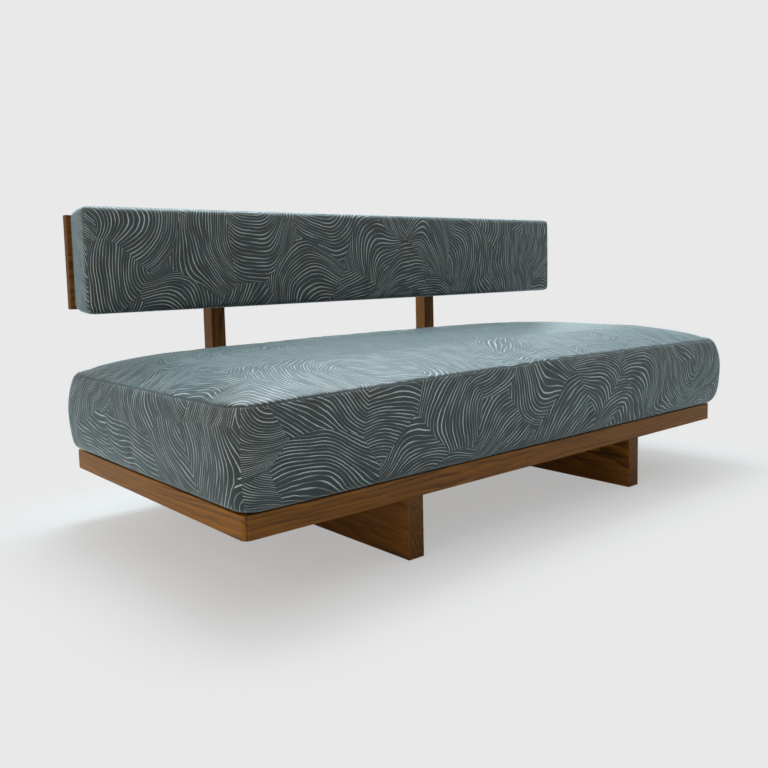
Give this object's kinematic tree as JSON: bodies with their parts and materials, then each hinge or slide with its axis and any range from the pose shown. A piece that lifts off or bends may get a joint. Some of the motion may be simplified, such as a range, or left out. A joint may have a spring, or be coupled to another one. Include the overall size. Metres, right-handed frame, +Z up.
{
  "type": "daybed sofa",
  "caption": "Low armless daybed sofa: a thick boxed seat cushion on a wooden platform with slab legs, and a padded backrest carried behind the seat on wooden posts.",
  "frame": {"origin": "on the floor, under the middle of the whole sofa's outline seen from above", "axes": "+X to the right as seen from the front, along the seat; +Y to the rear, toward the back posts; +Z up"},
  "size_m": [1.963, 1.011, 0.896],
  "materials": {
    "oak": "oiled medium brown oak, satin",
    "beech": "planed, unfinished",
    "plywood": "sanded birch plywood",
    "zinc_steel": "zinc plated",
    "upholstery": null,
    "polyester_wrap": "white fibre wadding",
    "foam": "open-cell upholstery foam",
    "felt": "pressed dark brown felt",
    "zip_nylon": "dark woven nylon coil chain",
    "zip_metal": "dark lacquered zinc alloy"
  },
  "bodies": {
    "platform": {"mitre_keys": "oak", "block_screws": "zinc_steel", "ledger_screws": "zinc_steel", "bearer_screws": "zinc_steel", "deck_screws": "zinc_steel", "coach_bolts": "zinc_steel", "coach_washers": "zinc_steel", "post_bolts": "zinc_steel", "post_washers": "zinc_steel", "barrel_nuts": "zinc_steel", "panel_screws": "zinc_steel", "back_pad_screws": "zinc_steel", "front_rail": "oak", "right_end_rail": "oak", "back_rail": "oak", "left_end_rail": "oak", "corner_blocks": "beech", "front_ledger": "beech", "back_ledger": "beech", "left_end_ledger": "beech", "right_end_ledger": "beech", "left_bearer": "beech", "centre_bearer": "beech", "right_bearer": "beech", "seat_deck": "plywood", "left_leg": "oak", "left_post": "oak", "right_leg": "oak", "right_post": "oak", "felt_pads": "felt", "back_panel": "oak", "back_pad_cover": "upholstery", "back_pad_wrap": "polyester_wrap", "back_pad_foam": "foam", "back_pad_board": "plywood"},
    "seat_cushion": {"seat_cover": "upholstery", "seat_fibre_wrap": "polyester_wrap", "seat_foam": "foam", "zip_chain": "zip_nylon"},
    "zip_slider": {"zip_slider": "zip_metal"}
  },
  "joints": [
    {"name": "seat_cushion_lift", "type": "slide", "parent": "platform", "child": "seat_cushion", "axis": [0, 0, 1], "range_m": [0, 0.1]},
    {"name": "zip_slide", "type": "slide", "parent": "seat_cushion", "child": "zip_slider", "axis": [1, 0, 0], "range_m": [-1.46, 0]}
  ]
}
